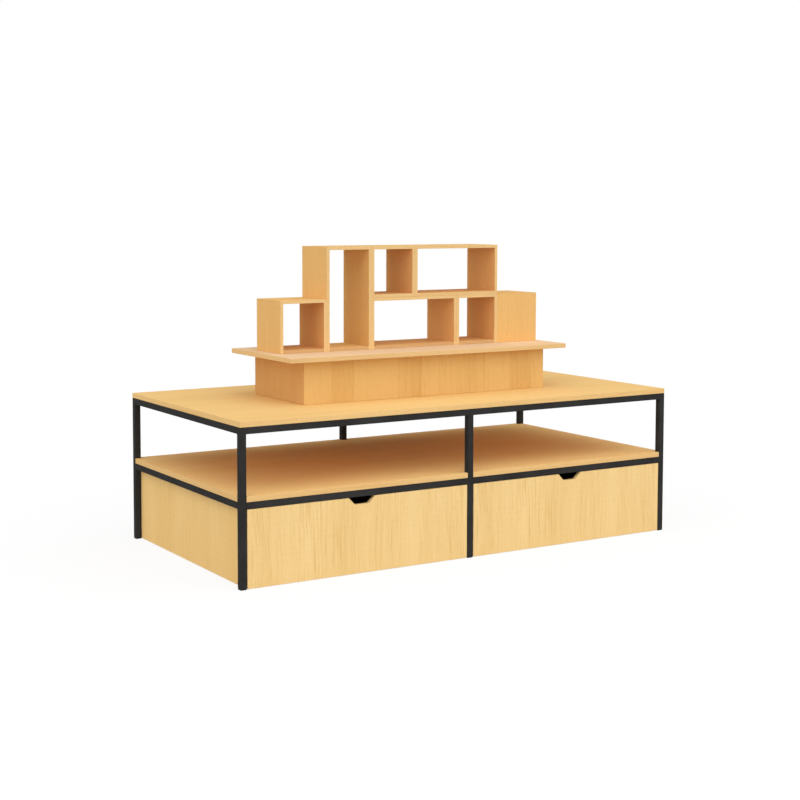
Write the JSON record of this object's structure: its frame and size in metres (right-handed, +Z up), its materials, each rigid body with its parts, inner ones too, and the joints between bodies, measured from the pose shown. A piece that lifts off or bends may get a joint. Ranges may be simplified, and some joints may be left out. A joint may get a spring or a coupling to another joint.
{
  "type": "display island",
  "caption": "Free-standing shop display island: steel-framed table with an open shelf, drawers under it, and a plinth on top that carries a stepped rack of open wooden boxes.",
  "frame": {"origin": "on the floor, under the middle of the table", "axes": "+Z up, +X along the length, -Y the side that the drawers open to"},
  "size_m": [2, 1, 1.2139],
  "materials": {
    "black_steel": "satin black powder coat",
    "black_plastic": "moulded black plastic",
    "beech_veneer": "pale straight-grained veneer, satin lacquer",
    "rack_veneer": "warm straight-grained veneer, satin lacquer",
    "birch_plywood": "plain sanded plywood",
    "zinc_steel": "bright zinc plate"
  },
  "bodies": {
    "table": {"post_front_left": "black_steel", "post_front_middle": "black_steel", "post_front_right": "black_steel", "post_back_left": "black_steel", "post_back_middle": "black_steel", "post_back_right": "black_steel", "top_rail_front": "black_steel", "top_rail_back": "black_steel", "top_rail_left": "black_steel", "top_rail_middle": "black_steel", "top_rail_right": "black_steel", "shelf_rail_front_left": "black_steel", "shelf_rail_front_right": "black_steel", "shelf_rail_back_left": "black_steel", "shelf_rail_back_right": "black_steel", "shelf_rail_left": "black_steel", "shelf_rail_middle": "black_steel", "shelf_rail_right": "black_steel", "foot_front_left": "black_plastic", "foot_front_middle": "black_plastic", "foot_front_right": "black_plastic", "foot_back_left": "black_plastic", "foot_back_middle": "black_plastic", "foot_back_right": "black_plastic", "table_top": "beech_veneer", "display_shelf": "beech_veneer", "side_panel_left": "beech_veneer", "side_panel_right": "beech_veneer", "back_panel": "beech_veneer", "divider_panel": "beech_veneer", "plinth_front": "rack_veneer", "plinth_right": "rack_veneer", "plinth_back": "rack_veneer", "plinth_left": "rack_veneer", "plinth_top": "rack_veneer", "rack_box_lower_left": "rack_veneer", "rack_box_tall": "rack_veneer", "rack_box_lower_wide": "rack_veneer", "rack_box_lower_small": "rack_veneer", "rack_box_upper_small": "rack_veneer", "rack_box_upper_wide": "rack_veneer", "rack_box_turned": "rack_veneer", "drawer_left_cabinet_slide_left": "zinc_steel", "drawer_left_cabinet_slide_right": "zinc_steel", "drawer_right_cabinet_slide_left": "zinc_steel", "drawer_right_cabinet_slide_right": "zinc_steel"},
    "drawer_left": {"drawer_left_front": "beech_veneer", "drawer_left_side_left": "birch_plywood", "drawer_left_side_right": "birch_plywood", "drawer_left_back": "birch_plywood", "drawer_left_bottom": "birch_plywood", "drawer_left_slide_left": "zinc_steel", "drawer_left_slide_right": "zinc_steel"},
    "drawer_right": {"drawer_right_front": "beech_veneer", "drawer_right_side_left": "birch_plywood", "drawer_right_side_right": "birch_plywood", "drawer_right_back": "birch_plywood", "drawer_right_bottom": "birch_plywood", "drawer_right_slide_left": "zinc_steel", "drawer_right_slide_right": "zinc_steel"}
  },
  "joints": [
    {"name": "drawer_left_travel", "type": "slide", "parent": "table", "child": "drawer_left", "axis": [0, -1, 0], "range_m": [0, 0.52]},
    {"name": "drawer_right_travel", "type": "slide", "parent": "table", "child": "drawer_right", "axis": [0, -1, 0], "range_m": [0, 0.52]}
  ]
}
